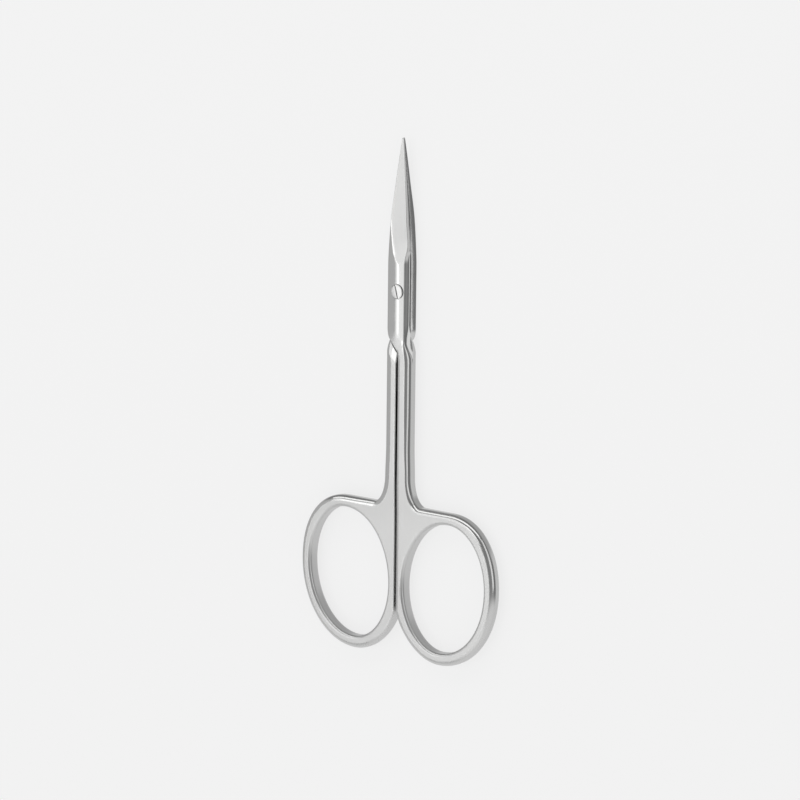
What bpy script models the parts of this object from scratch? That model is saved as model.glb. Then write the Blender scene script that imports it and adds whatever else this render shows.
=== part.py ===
"""Straight nail scissors, closed and lying flat, front face up.

The scissors are three pieces: an upper half, a lower half and the slotted screw that they turn on.
X is across, Y runs from the finger rings to the tips, and Z is up out of the front face.
Both halves are the same forging. The lower one is the upper one turned over about the long axis.
Each half is drawn in its own frame: the pivot is at its origin, v is the height along Y, and z = 0 is
the plane where the halves meet.
"""
import math

import bmesh
import bpy

MM = 0.001

# Thickness, measured from the plane between the halves to an outer face
SHANK_HALF_THICKNESS = 1.35 * MM
RING_HALF_THICKNESS = 1.22 * MM
JOINT_CROWN_HEIGHT = 1.35 * MM
JOINT_SPINE_HEIGHT = 0.90 * MM
JOINT_EDGE_HEIGHT = 1.18 * MM

# Lengths along Y
BLADE_LENGTH = 22.4 * MM
HEEL_ABOVE_PIVOT = 4.4 * MM
PIVOT_ABOVE_RINGS = 37.8 * MM
SHOULDER_BELOW_PIVOT = 6.7 * MM
SHOULDER_SLANT = 4.0 * MM

# Finger rings. The shares say where the opening is highest and lowest across its width,
# and where its inner and outer sides bulge most over its height.
RING_WALL = 2.25 * MM
RING_TOP_WALL = 2.05 * MM
OPENING_WIDTH = 18.2 * MM
OPENING_HEIGHT = 23.1 * MM
OPENING_FROM_CENTRE = 1.75 * MM
RING_INNER_ROUND = 0.60 * MM
RING_OUTER_ROUND = 1.00 * MM
FILLET_WIDTH = 2.3 * MM
FILLET_HEIGHT = 3.4 * MM
WEB_HEIGHT = 9.0 * MM
OPENING_TOP_SHARE = 0.55
OPENING_BOTTOM_SHARE = 0.44
OPENING_INSIDE_SHARE = 0.46
OPENING_OUTSIDE_SHARE = 0.54

# Shanks
PARTING_GAP = 0.30 * MM
PARTING_EDGE_ROUND = 0.12 * MM
SHANK_WIDTH_AT_RING = 2.55 * MM
SHANK_WIDTH_AT_SHOULDER = 2.35 * MM
SHANK_FRONT_ROUND_WIDTH = 0.55 * MM
SHANK_FRONT_ROUND_HEIGHT = 1.10 * MM
SHANK_BACK_ROUND = 0.90 * MM

# Joint. The undercut is how far the spine's side leans in between the front face and the other half.
JOINT_SPINE_WIDTH = 2.50 * MM
JOINT_SPINE_UNDERCUT = 0.40 * MM
JOINT_EDGE_WIDTH = 1.60 * MM
JOINT_EDGE_ROUND = 0.10 * MM
SEAT_CLEARANCE = 0.06 * MM
SHOULDER_CLEARANCE = 0.25 * MM

# Blades
BLADE_EDGE_WIDTH = 1.85 * MM
BLADE_SPINE_ROUND = 0.30 * MM
EDGE_FACET_HEIGHT = 0.82 * MM
EDGE_FACET_LEAN = 0.12 * MM
EDGE_FACET_RUNOUT = 3.2 * MM
GROUND_FACE_RUNOUT = 8.1 * MM
TIP_HALF_WIDTH = 0.12 * MM
TIP_THICKNESS = 0.22 * MM
TIP_POINT_LENGTH = 0.15 * MM
TIP_POINT_SHARE = 0.6
TIP_ROUND_SHARE = 0.4

# Screw
SCREW_DIAMETER = 1.70 * MM
SCREW_HEAD_DIAMETER = 2.60 * MM
SCREW_HEAD_THICKNESS = 0.50 * MM
SCREW_HEAD_ROUND = 0.12 * MM
SCREW_HEAD_SUNK = 0.30 * MM
SCREW_END_SUNK = 0.08 * MM
SCREW_END_CHAMFER = 0.10 * MM
SLOT_WIDTH = 0.36 * MM
SLOT_DEPTH = 0.26 * MM
SLOT_ANGLE = math.radians(16.0)
HOLE_CLEARANCE = 0.05 * MM
THREAD_CLEARANCE = 0.03 * MM
HEAD_CLEARANCE = 0.06 * MM

# How far every cutter reaches past what it cuts
OVERRUN = 4.0 * MM

# Powers of the curves: 2 is a true ellipse, and more is fuller
ELLIPSE_POWER = 2.0
RING_SHOULDER_POWER = 2.18
LEAF_POWER = 1.5
TAPER_POWER = 0.9

# Fineness of the surfaces
CORNER_STEPS = 4
FACE_STEPS = 4
FILLET_STEPS = 6
RING_TOP_STEPS = 3
RING_QUARTER_STEPS = 10
PARTING_STEPS = 8
SHANK_STEPS = 5
SHOULDER_STEPS = 4
JOINT_STEPS = 4
BLADE_STEPS = 14
ROUND_SIDES = 32
SHARP_ANGLE = math.radians(32.0)

# How the ring's opening is shared out: the angles round it that face each stretch of the outline
WEB_START_ANGLE = math.radians(150.0)
WEB_END_ANGLE = math.radians(122.0)
FILLET_END_ANGLE = math.radians(108.0)
PARTING_BLEND_ANGLE = math.radians(45.0)

# Places that follow from the sizes above
RING_HEIGHT = RING_WALL + OPENING_HEIGHT + RING_TOP_WALL
PIVOT_Y = RING_HEIGHT + PIVOT_ABOVE_RINGS
OVERALL_LENGTH = PIVOT_Y + HEEL_ABOVE_PIVOT + BLADE_LENGTH
TIP_V = HEEL_ABOVE_PIVOT + BLADE_LENGTH
RING_TOP_V = -PIVOT_ABOVE_RINGS
RING_BOTTOM_V = -PIVOT_Y
SEAM_V = RING_TOP_V + FILLET_HEIGHT
SHOULDER_TOP_V = -SHOULDER_BELOW_PIVOT
SHOULDER_LOW_V = SHOULDER_TOP_V - SHOULDER_SLANT
HALF_GAP = PARTING_GAP / 2
OPENING_INSIDE_X = OPENING_FROM_CENTRE
OPENING_OUTSIDE_X = OPENING_INSIDE_X + OPENING_WIDTH
OPENING_LOW_V = RING_BOTTOM_V + RING_WALL
OPENING_TOP_V = OPENING_LOW_V + OPENING_HEIGHT
OPENING_TOP_X = OPENING_INSIDE_X + OPENING_WIDTH * OPENING_TOP_SHARE
OPENING_BOTTOM_X = OPENING_INSIDE_X + OPENING_WIDTH * OPENING_BOTTOM_SHARE
OPENING_INSIDE_V = OPENING_LOW_V + OPENING_HEIGHT * OPENING_INSIDE_SHARE
OPENING_OUTSIDE_V = OPENING_LOW_V + OPENING_HEIGHT * OPENING_OUTSIDE_SHARE
SEAM_OUTSIDE_X = HALF_GAP + SHANK_WIDTH_AT_RING
MIDDLE_Z = max(SHANK_HALF_THICKNESS, RING_HALF_THICKNESS, JOINT_CROWN_HEIGHT)


def limited(value):
    """Share kept between 0 and 1."""
    return min(max(value, 0.0), 1.0)


def between(start, end, share):
    """Value on the straight line from start to end."""
    return start + (end - start) * share


def eased(start, end, share):
    """Value between start and end that leaves and arrives level."""
    share = limited(share)
    return between(start, end, share * share * (3 - 2 * share))


class Corner:
    """Rounded corner of a cross-section: the square corner and the width and height of its round."""

    def __init__(self, x, z, round_width, round_height):
        self.x = x
        self.z = z
        self.round_width = round_width
        self.round_height = round_height

    def arc(self, side_x, side_z):
        """Points of the round from the level face to the side wall."""
        points = []
        for step in range(CORNER_STEPS + 1):
            angle = math.pi / 2 * step / CORNER_STEPS
            x = self.x - side_x * self.round_width * (1 - math.sin(angle))
            z = self.z - side_z * self.round_height * (1 - math.cos(angle))
            points.append((x, z))
        return points

    def towards(self, other, share):
        """Corner on the way from this one to another."""
        return Corner(
            eased(self.x, other.x, share),
            eased(self.z, other.z, share),
            eased(self.round_width, other.round_width, share),
            eased(self.round_height, other.round_height, share),
        )


def inner_points(start, end, steps):
    """Points strictly between start and end, evenly spaced."""
    shares = [step / steps for step in range(1, steps)]
    return [tuple(between(a, b, share) for a, b in zip(start, end)) for share in shares]


def cross_section(front_left, front_right, back_right, back_left):
    """Closed loop of (x, z): down the right side, along the back, up the left side, along the front."""
    right = front_right.arc(1, 1) + back_right.arc(1, -1)[::-1]
    left = back_left.arc(-1, -1) + front_left.arc(-1, 1)[::-1]
    back = inner_points(right[-1], left[0], FACE_STEPS)
    front = inner_points(left[-1], right[0], FACE_STEPS)
    return right + back + left + front


def shank_corners(v):
    """Shank at height v: flat towards the other shank and rounded outside."""
    share = (v - SEAM_V) / (SHOULDER_LOW_V - SEAM_V)
    outside = HALF_GAP + eased(SHANK_WIDTH_AT_RING, SHANK_WIDTH_AT_SHOULDER, share)
    face = SHANK_HALF_THICKNESS
    return (
        Corner(HALF_GAP, face, PARTING_EDGE_ROUND, PARTING_EDGE_ROUND),
        Corner(outside, face, SHANK_FRONT_ROUND_WIDTH, SHANK_FRONT_ROUND_HEIGHT),
        Corner(outside, -face, SHANK_BACK_ROUND, SHANK_BACK_ROUND),
        Corner(HALF_GAP, -face, PARTING_EDGE_ROUND, PARTING_EDGE_ROUND),
    )


def blade_corners(v):
    """Joint or blade at height v: a crowned spine on the left and the cutting edge on the right.

    Seen from the front the blade is a leaf, 1 - s ** LEAF_POWER wide at the share s of its length.
    The ground front face cuts the crown back in a parabola that starts on the centre line at the heel.
    What lies below z = 0 is milled away afterwards.
    """
    along = limited((v - HEEL_ABOVE_PIVOT) / BLADE_LENGTH)
    leaf = 1 - along ** LEAF_POWER
    taper = (1 - along) ** TAPER_POWER
    runout = (v - HEEL_ABOVE_PIVOT) / EDGE_FACET_RUNOUT
    ground = math.sqrt(limited((v - HEEL_ABOVE_PIVOT) / GROUND_FACE_RUNOUT))

    spine = between(TIP_HALF_WIDTH, JOINT_SPINE_WIDTH, leaf)
    edge = between(TIP_HALF_WIDTH, eased(JOINT_EDGE_WIDTH, BLADE_EDGE_WIDTH, runout), leaf)
    face = between(TIP_THICKNESS, JOINT_CROWN_HEIGHT, taper)
    edge_face = between(TIP_THICKNESS, eased(JOINT_EDGE_HEIGHT, EDGE_FACET_HEIGHT, runout), leaf)
    edge_face = min(edge_face, face)

    finest = min(TIP_HALF_WIDTH, TIP_THICKNESS) * TIP_ROUND_SHARE
    edge_round = between(finest, JOINT_EDGE_ROUND, leaf)
    spine_round = between(finest, BLADE_SPINE_ROUND, leaf)
    crown_width = between(spine, spine_round, ground)
    crown_drop = between(JOINT_CROWN_HEIGHT - JOINT_SPINE_HEIGHT, spine_round, ground)
    undercut = JOINT_SPINE_UNDERCUT * leaf
    lean = EDGE_FACET_LEAN * leaf * limited(runout)
    return (
        Corner(-spine, face, crown_width, min(crown_drop, face - finest)),
        Corner(edge - lean, edge_face, edge_round, edge_round),
        Corner(edge + lean, -edge_face, edge_round, edge_round),
        Corner(2 * undercut - spine, -face, edge_round, edge_round),
    )


def stem_section(v):
    """Cross-section of shank, joint or blade at height v, as points (x, v, z)."""
    slant = (v - SHOULDER_LOW_V) / SHOULDER_SLANT
    shank = shank_corners(v)
    blade = blade_corners(v)
    corners = [low.towards(high, slant) for low, high in zip(shank, blade)]
    for left in (0, 3):
        corners[left].x = between(shank[left].x, blade[left].x, limited(slant))
    return [(x, v, z) for x, z in cross_section(*corners)]


def stem_heights():
    """Heights of the stem's cross-sections, from just above the ring's fillet to the tip."""
    stretches = (
        (SEAM_V, SHOULDER_LOW_V, SHANK_STEPS),
        (SHOULDER_LOW_V, SHOULDER_TOP_V, SHOULDER_STEPS),
        (SHOULDER_TOP_V, HEEL_ABOVE_PIVOT, JOINT_STEPS),
        (HEEL_ABOVE_PIVOT, TIP_V - TIP_POINT_LENGTH, BLADE_STEPS),
    )
    heights = []
    for start, end, steps in stretches:
        heights += [between(start, end, step / steps) for step in range(1, steps + 1)]
    return heights


def egg(angle, wall_share):
    """Point and outward direction on the ring's egg shape: the opening at share 0, the outside at 1.

    The egg is four quarter ellipses of different sizes. The outside's upper outer quarter is a little
    fuller than an ellipse.
    """
    across = math.cos(angle)
    up = math.sin(angle)
    power = ELLIPSE_POWER
    if up >= 0:
        centre_x = OPENING_TOP_X
        reach_up = OPENING_TOP_V
        wall = RING_TOP_WALL
    else:
        centre_x = OPENING_BOTTOM_X
        reach_up = OPENING_LOW_V
        wall = RING_WALL
    if across >= 0:
        centre_v = OPENING_OUTSIDE_V
        reach_across = OPENING_OUTSIDE_X
    else:
        centre_v = OPENING_INSIDE_V
        reach_across = OPENING_INSIDE_X
    if up >= 0 and across >= 0:
        power = between(ELLIPSE_POWER, RING_SHOULDER_POWER, wall_share)
    radius_x = abs(reach_across - centre_x) + RING_WALL * wall_share
    radius_v = abs(reach_up - centre_v) + wall * wall_share
    share_x = math.copysign(abs(across) ** (2 / power), across)
    share_v = math.copysign(abs(up) ** (2 / power), up)
    point = (centre_x + radius_x * share_x, centre_v + radius_v * share_v)
    slope_x = math.copysign(abs(share_x) ** (power - 1), across) / radius_x
    slope_v = math.copysign(abs(share_v) ** (power - 1), up) / radius_v
    size = math.hypot(slope_x, slope_v)
    return point, (slope_x / size, slope_v / size)


def parting_angle():
    """Angle round the ring's outside where it meets the flat parting wall."""
    radius = OPENING_BOTTOM_X - OPENING_INSIDE_X + RING_WALL
    reach = max((HALF_GAP - OPENING_BOTTOM_X) / radius, -1.0)
    return -math.acos(reach)


def half_thickness(v):
    """Half thickness of ring and web at height v."""
    share = (v - SEAM_V + WEB_HEIGHT) / WEB_HEIGHT
    return eased(RING_HALF_THICKNESS, SHANK_HALF_THICKNESS, share)


def outline_stations():
    """Stations round the ring's outside, clockwise from the shank's outer side to its parting side.

    Each is (outline point, outward direction, front round, back round, opening angle that it faces).
    """
    ring_round = (RING_OUTER_ROUND, RING_OUTER_ROUND)
    front_round = (SHANK_FRONT_ROUND_WIDTH, SHANK_FRONT_ROUND_HEIGHT)
    back_round = (SHANK_BACK_ROUND, SHANK_BACK_ROUND)
    parting_round = (PARTING_EDGE_ROUND, PARTING_EDGE_ROUND)

    def mixed(first, second, share):
        return tuple(eased(a, b, share) for a, b in zip(first, second))

    stations = []
    for step in range(FILLET_STEPS + 1):
        share = step / FILLET_STEPS
        turn = math.pi / 2 * share
        x = SEAM_OUTSIDE_X + FILLET_WIDTH * (1 - math.cos(turn))
        v = SEAM_V - FILLET_HEIGHT * math.sin(turn)
        size = math.hypot(math.cos(turn) * FILLET_HEIGHT, math.sin(turn) * FILLET_WIDTH)
        outward = (math.cos(turn) * FILLET_HEIGHT / size, math.sin(turn) * FILLET_WIDTH / size)
        front = mixed(front_round, ring_round, share)
        back = mixed(back_round, ring_round, share)
        facing = between(WEB_END_ANGLE, FILLET_END_ANGLE, share)
        stations.append(((x, v), outward, front, back, facing))

    top_start_x = SEAM_OUTSIDE_X + FILLET_WIDTH
    for step in range(1, RING_TOP_STEPS + 1):
        share = step / RING_TOP_STEPS
        x = between(top_start_x, OPENING_TOP_X, share)
        facing = between(FILLET_END_ANGLE, math.pi / 2, share)
        stations.append(((x, RING_TOP_V), (0.0, 1.0), ring_round, ring_round, facing))

    last = parting_angle()
    turns = ((math.pi / 2, 0.0), (0.0, -math.pi / 2), (-math.pi / 2, last))
    for start, end in turns:
        for step in range(1, RING_QUARTER_STEPS + 1):
            angle = between(start, end, step / RING_QUARTER_STEPS)
            point, outward = egg(angle, 1.0)
            near = 1 - (angle - last) / PARTING_BLEND_ANGLE
            around = mixed(ring_round, parting_round, near)
            stations.append((point, outward, around, around, angle))

    low_v = stations[-1][0][1]
    for step in range(1, PARTING_STEPS + 1):
        share = step / PARTING_STEPS
        v = between(low_v, SEAM_V, share)
        facing = between(last, WEB_START_ANGLE - 2 * math.pi, share)
        stations.append(((HALF_GAP, v), (-1.0, 0.0), parting_round, parting_round, facing))
    return stations


def rim_points(point, outward, front, back, depth_sign):
    """Points (x, v, z) over a rim from its front face to its back face.

    The rim's edge is at the point; the material lies on the other side of it from depth_sign * outward.
    """
    thickness = half_thickness(point[1])
    faces = Corner(0.0, thickness, *front).arc(1, 1) + Corner(0.0, -thickness, *back).arc(1, -1)[::-1]
    return [
        (point[0] + depth_sign * outward[0] * depth, point[1] + depth_sign * outward[1] * depth, z)
        for depth, z in faces
    ]


def half_mesh(name):
    """Mesh of one forged half, before the joint is milled and drilled."""
    shape = bmesh.new()

    def add(points):
        return [shape.verts.new(point) for point in points]

    def skin(first, second, closed):
        count = len(first)
        for index in range(count if closed else count - 1):
            after = (index + 1) % count
            shape.faces.new((first[index], first[after], second[after], second[index]))

    inner_round = (RING_INNER_ROUND, RING_INNER_ROUND)
    stations = outline_stations()
    outer_rims = []
    inner_rims = []
    for point, outward, front, back, facing in stations:
        outer_rims.append(add(rim_points(point, outward, front, back, 1)))
        inside, away = egg(facing, 0.0)
        inner_rims.append(add(rim_points(inside, away, inner_round, inner_round, -1)))
    for index in range(len(stations) - 1):
        skin(outer_rims[index], outer_rims[index + 1], False)
        skin(inner_rims[index], inner_rims[index + 1], False)
        for face in (0, -1):
            corner = (outer_rims[index][face], outer_rims[index + 1][face])
            shape.faces.new(corner + (inner_rims[index + 1][face], inner_rims[index][face]))

    # Web between the opening and the shank
    seam = stem_section(SEAM_V)
    side = len(outer_rims[0])
    back_seam = add(seam[side:side + FACE_STEPS - 1])
    front_seam = add(seam[-FACE_STEPS + 1:])
    loop = outer_rims[0] + back_seam + outer_rims[-1][::-1] + front_seam
    web_rims = [inner_rims[0]]
    for step in range(1, FACE_STEPS):
        facing = between(WEB_END_ANGLE, WEB_START_ANGLE, step / FACE_STEPS)
        inside, away = egg(facing, 0.0)
        web_rims.append(add(rim_points(inside, away, inner_round, inner_round, -1)))
    web_rims.append(inner_rims[-1])
    front_edge = [outer_rims[0][0]] + front_seam[::-1] + [outer_rims[-1][0]]
    back_edge = [outer_rims[0][-1]] + back_seam + [outer_rims[-1][-1]]
    for index in range(FACE_STEPS):
        skin(web_rims[index], web_rims[index + 1], False)
        for face, edge in ((0, front_edge), (-1, back_edge)):
            corner = (web_rims[index][face], web_rims[index + 1][face])
            shape.faces.new(corner + (edge[index + 1], edge[index]))

    # Shank, joint and blade
    for v in stem_heights():
        following = add(stem_section(v))
        skin(loop, following, True)
        loop = following
    point = shape.verts.new((0.0, TIP_V, TIP_THICKNESS * TIP_POINT_SHARE))
    for index, corner in enumerate(loop):
        shape.faces.new((corner, loop[(index + 1) % len(loop)], point))

    # Only the joint's faces are flat. The bent ones are split, so that the milling cuts them cleanly.
    bent = []
    for face in shape.faces:
        if not SHOULDER_TOP_V < face.calc_center_median().y < HEEL_ABOVE_PIVOT:
            bent.append(face)
    bmesh.ops.triangulate(shape, faces=bent)
    bmesh.ops.recalc_face_normals(shape, faces=shape.faces)
    mesh = bpy.data.meshes.new(name)
    shape.to_mesh(mesh)
    shape.free()
    mesh.shade_smooth()
    return mesh


def prism_mesh(name, outline, low_z, high_z):
    """Straight prism over an outline of (x, y) points."""
    shape = bmesh.new()
    base = [shape.verts.new((x, y, low_z)) for x, y in outline]
    floor = shape.faces.new(base)
    risen = bmesh.ops.extrude_face_region(shape, geom=[floor])["geom"]
    moved = [item for item in risen if isinstance(item, bmesh.types.BMVert)]
    bmesh.ops.translate(shape, verts=moved, vec=(0.0, 0.0, high_z - low_z))
    bmesh.ops.recalc_face_normals(shape, faces=shape.faces)
    mesh = bpy.data.meshes.new(name)
    shape.to_mesh(mesh)
    shape.free()
    return mesh


def turned_mesh(name, profile):
    """Solid turned about Z from a profile of (radius, z) points that starts and ends on the axis."""
    shape = bmesh.new()
    across = math.cos(math.pi / ROUND_SIDES)
    up = math.sin(math.pi / ROUND_SIDES)
    points = [shape.verts.new((radius * across, radius * up, z)) for radius, z in profile]
    edges = [shape.edges.new(pair) for pair in zip(points, points[1:])]
    bmesh.ops.spin(
        shape,
        geom=points + edges,
        cent=(0.0, 0.0, 0.0),
        axis=(0.0, 0.0, 1.0),
        angle=2 * math.pi,
        steps=ROUND_SIDES,
        use_merge=True,
    )
    bmesh.ops.remove_doubles(shape, verts=shape.verts, dist=THREAD_CLEARANCE / ROUND_SIDES)
    bmesh.ops.recalc_face_normals(shape, faces=shape.faces)
    mesh = bpy.data.meshes.new(name)
    shape.to_mesh(mesh)
    shape.free()
    return mesh


def new_object(name, mesh, parent=None):
    """Object of a mesh, linked to the scene and hung on its parent."""
    thing = bpy.data.objects.new(name, mesh)
    bpy.context.scene.collection.objects.link(thing)
    thing.parent = parent
    return thing


def cut(piece, name, mesh):
    """Cut the mesh out of the piece; the cutter stays as a hidden guide on it."""
    cutter = new_object(name, mesh, piece)
    cutter.hide_render = True
    cutter.display_type = "WIRE"
    modifier = piece.modifiers.new(name, "BOOLEAN")
    modifier.operation = "DIFFERENCE"
    modifier.solver = "EXACT"
    modifier.object = cutter
    return cutter


def steel(name, colour, roughness):
    """Bare steel with its colour and roughness."""
    material = bpy.data.materials.new(name)
    material.use_nodes = True
    shader = material.node_tree.nodes["Principled BSDF"]
    shader.inputs["Base Color"].default_value = colour
    shader.inputs["Roughness"].default_value = roughness
    shader.inputs["Metallic"].default_value = 1.0
    return material


def seat_outline():
    """Outline of what is milled from a half's inner side: all above the other half's slanted shoulder."""
    low_x = -HALF_GAP
    high_x = JOINT_SPINE_WIDTH
    run = high_x - low_x
    size = math.hypot(run, SHOULDER_SLANT)
    shift_x = SHOULDER_CLEARANCE * SHOULDER_SLANT / size
    shift_v = -SHOULDER_CLEARANCE * run / size
    reach = (OVERRUN + JOINT_SPINE_WIDTH) / run
    start = (low_x + shift_x, SHOULDER_LOW_V + shift_v)
    left = (start[0] - run * reach, start[1] - SHOULDER_SLANT * reach)
    right = (start[0] + run * reach, start[1] + SHOULDER_SLANT * reach)
    top = TIP_V + OVERRUN
    return [left, right, (right[0], top), (left[0], top)]


def make_half(name, material, hole_profile):
    """One half with its milled seat and its hole."""
    half = new_object(name, half_mesh(name))
    half.data.materials.append(material)
    seat_name = name + "_seat_cutter"
    cut(half, seat_name, prism_mesh(seat_name, seat_outline(), -MIDDLE_Z - OVERRUN, SEAT_CLEARANCE / 2))
    hole_name = name + "_hole_cutter"
    cut(half, hole_name, turned_mesh(hole_name, hole_profile))
    return half


def make_screw(name, material):
    """Slotted screw: a shank through both halves and a low head sunk into the upper one."""
    radius = SCREW_DIAMETER / 2
    head_radius = SCREW_HEAD_DIAMETER / 2
    seat = JOINT_CROWN_HEIGHT - SCREW_HEAD_SUNK
    top = seat + SCREW_HEAD_THICKNESS
    end = SCREW_END_SUNK - JOINT_CROWN_HEIGHT
    head_edge = Corner(head_radius, top, SCREW_HEAD_ROUND, SCREW_HEAD_ROUND)
    profile = [
        (0.0, end),
        (radius - SCREW_END_CHAMFER, end),
        (radius, end + SCREW_END_CHAMFER),
        (radius, seat),
        (head_radius, seat),
    ]
    profile += head_edge.arc(1, 1)[::-1]
    profile.append((0.0, top))
    screw = new_object(name, turned_mesh(name, profile))
    screw.data.materials.append(material)
    half_width = SLOT_WIDTH / 2
    reach = head_radius + OVERRUN
    outline = [(-half_width, -reach), (half_width, -reach), (half_width, reach), (-half_width, reach)]
    slot_name = name + "_slot_cutter"
    slot = cut(screw, slot_name, prism_mesh(slot_name, outline, top - SLOT_DEPTH, top + OVERRUN))
    slot.rotation_euler = (0.0, 0.0, SLOT_ANGLE)
    return screw


def upper_hole():
    """Profile of the clearance hole and the head's seat."""
    hole = SCREW_DIAMETER / 2 + HOLE_CLEARANCE
    seat = SCREW_HEAD_DIAMETER / 2 + HEAD_CLEARANCE
    floor = JOINT_CROWN_HEIGHT - SCREW_HEAD_SUNK - HEAD_CLEARANCE
    return [(0.0, -OVERRUN), (hole, -OVERRUN), (hole, floor), (seat, floor), (seat, OVERRUN), (0.0, OVERRUN)]


def lower_hole():
    """Profile of the hole that the screw's thread bites in."""
    hole = SCREW_DIAMETER / 2 + THREAD_CLEARANCE
    return [(0.0, -OVERRUN), (hole, -OVERRUN), (hole, OVERRUN), (0.0, OVERRUN)]


def build():
    """Make the three pieces in the closed position, resting on the lower half's back."""
    for thing in list(bpy.data.objects):
        bpy.data.objects.remove(thing, do_unlink=True)
    pivot = (0.0, PIVOT_Y - OVERALL_LENGTH / 2, MIDDLE_Z)

    upper = make_half("upper_half", steel("polished_steel_upper", (0.56, 0.57, 0.58, 1.0), 0.22), upper_hole())
    upper.location = pivot

    lower = make_half("lower_half", steel("polished_steel_lower", (0.56, 0.57, 0.58, 1.0), 0.22), lower_hole())
    lower.location = pivot
    lower.rotation_euler = (0.0, math.pi, 0.0)

    screw = make_screw("pivot_screw", steel("screw_steel", (0.66, 0.66, 0.65, 1.0), 0.28))
    screw.location = pivot

    for piece in (upper, lower, screw):
        piece.data.set_sharp_from_angle(angle=SHARP_ANGLE)


build()
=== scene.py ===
"""Straight nail scissors, closed and lying flat with their front face up: the finished look.

X is across, Y runs from the finger rings to the tips, and Z is up out of the front face.
The sizes of the scissors and of the camera's aim are in millimetres, and are brought to metres when
an object is made. The table and the lamps are in metres.
"""
import math

import bmesh
import bpy
import numpy as np
from mathutils import Matrix, Vector


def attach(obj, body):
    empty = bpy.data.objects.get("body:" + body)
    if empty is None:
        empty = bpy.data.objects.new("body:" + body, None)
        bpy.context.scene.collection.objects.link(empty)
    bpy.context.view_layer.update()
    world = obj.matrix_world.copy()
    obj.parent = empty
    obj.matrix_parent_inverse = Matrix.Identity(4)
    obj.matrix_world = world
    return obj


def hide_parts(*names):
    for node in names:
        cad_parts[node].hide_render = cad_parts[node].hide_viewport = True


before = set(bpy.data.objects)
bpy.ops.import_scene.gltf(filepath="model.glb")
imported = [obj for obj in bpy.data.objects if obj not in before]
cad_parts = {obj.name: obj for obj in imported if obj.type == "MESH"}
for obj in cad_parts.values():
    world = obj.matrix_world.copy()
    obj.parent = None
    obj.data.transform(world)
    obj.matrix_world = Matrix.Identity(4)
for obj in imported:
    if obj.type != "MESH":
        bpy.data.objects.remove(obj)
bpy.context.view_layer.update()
scene = bpy.context.scene
scene.view_settings.view_transform = "Standard"


# Camera. A long lens looks down on the front face from the right, with the tips at the top of the
# picture, as a shop photographer would hold it over scissors laid on a table.

CAMERA_AZIMUTH = math.radians(40.26)
CAMERA_RISE = math.radians(10.20)
CAMERA_ROLL = math.radians(0.63)
CAMERA_DISTANCE = 689.0
CAMERA_SEES = (0.01, 10.0)  # nearest and furthest, in metres
PIXELS_PER_MM = 5.725
PICTURE_SIZE = 800
SENSOR = 36.0
AIM = Vector((0.0, 0.0, 1.4))
AIM_IN_PICTURE = (400.71, 399.64)
MM = 0.001  # metres in a millimetre

towards = Vector((
    math.sin(CAMERA_AZIMUTH) * math.cos(CAMERA_RISE),
    math.sin(CAMERA_RISE),
    math.cos(CAMERA_AZIMUTH) * math.cos(CAMERA_RISE),
))
level = Vector((math.cos(CAMERA_AZIMUTH), 0.0, -math.sin(CAMERA_AZIMUTH)))
upright = towards.cross(level)
right_axis = level * math.cos(CAMERA_ROLL) + upright * math.sin(CAMERA_ROLL)
up_axis = upright * math.cos(CAMERA_ROLL) - level * math.sin(CAMERA_ROLL)

camera = bpy.data.objects.new("camera", bpy.data.cameras.new("camera"))
scene.collection.objects.link(camera)
turn = Matrix((right_axis, up_axis, towards)).transposed()
camera.matrix_world = Matrix.Translation((AIM + towards * CAMERA_DISTANCE) * MM) @ turn.to_4x4()
camera.data.sensor_width = SENSOR
camera.data.lens = SENSOR * PIXELS_PER_MM * CAMERA_DISTANCE / PICTURE_SIZE
camera.data.shift_x = (PICTURE_SIZE / 2 - AIM_IN_PICTURE[0]) / PICTURE_SIZE
camera.data.shift_y = (AIM_IN_PICTURE[1] - PICTURE_SIZE / 2) / PICTURE_SIZE
camera.data.clip_start, camera.data.clip_end = CAMERA_SEES
scene.camera = camera


# Table. A matt sheet of pale grey card, wide enough to reach past every view. The scissors lie on
# it, a hair's breadth above.

CARD_COLOUR = (0.86, 0.86, 0.86, 1.0)
CARD_ROUGHNESS = 0.9
CARD_SHINE = 0.1
CARD_PALE = (0.98, 0.98, 0.98, 1.0)  # its even paleness, where the camera sees it
CARD_EVENNESS = 0.76  # and the share of that in what the camera sees
CARD_REACH = 4.0
CARD_DROP = 0.00002

card_mesh = bpy.data.meshes.new("table_card")
card_corners = [(-1, -1), (1, -1), (1, 1), (-1, 1)]
card_mesh.from_pydata(
    [(x * CARD_REACH, y * CARD_REACH, -CARD_DROP) for x, y in card_corners], [], [(0, 1, 2, 3)],
)
card = bpy.data.objects.new("table_card", card_mesh)
scene.collection.objects.link(card)
card_paint = bpy.data.materials.new("matt_card")
card_paint.use_nodes = True
card_nodes = card_paint.node_tree.nodes
card_links = card_paint.node_tree.links
card_shader = card_nodes["Principled BSDF"]
card_shader.inputs["Base Color"].default_value = CARD_COLOUR
card_shader.inputs["Roughness"].default_value = CARD_ROUGHNESS
card_shader.inputs["Specular IOR Level"].default_value = CARD_SHINE
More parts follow.
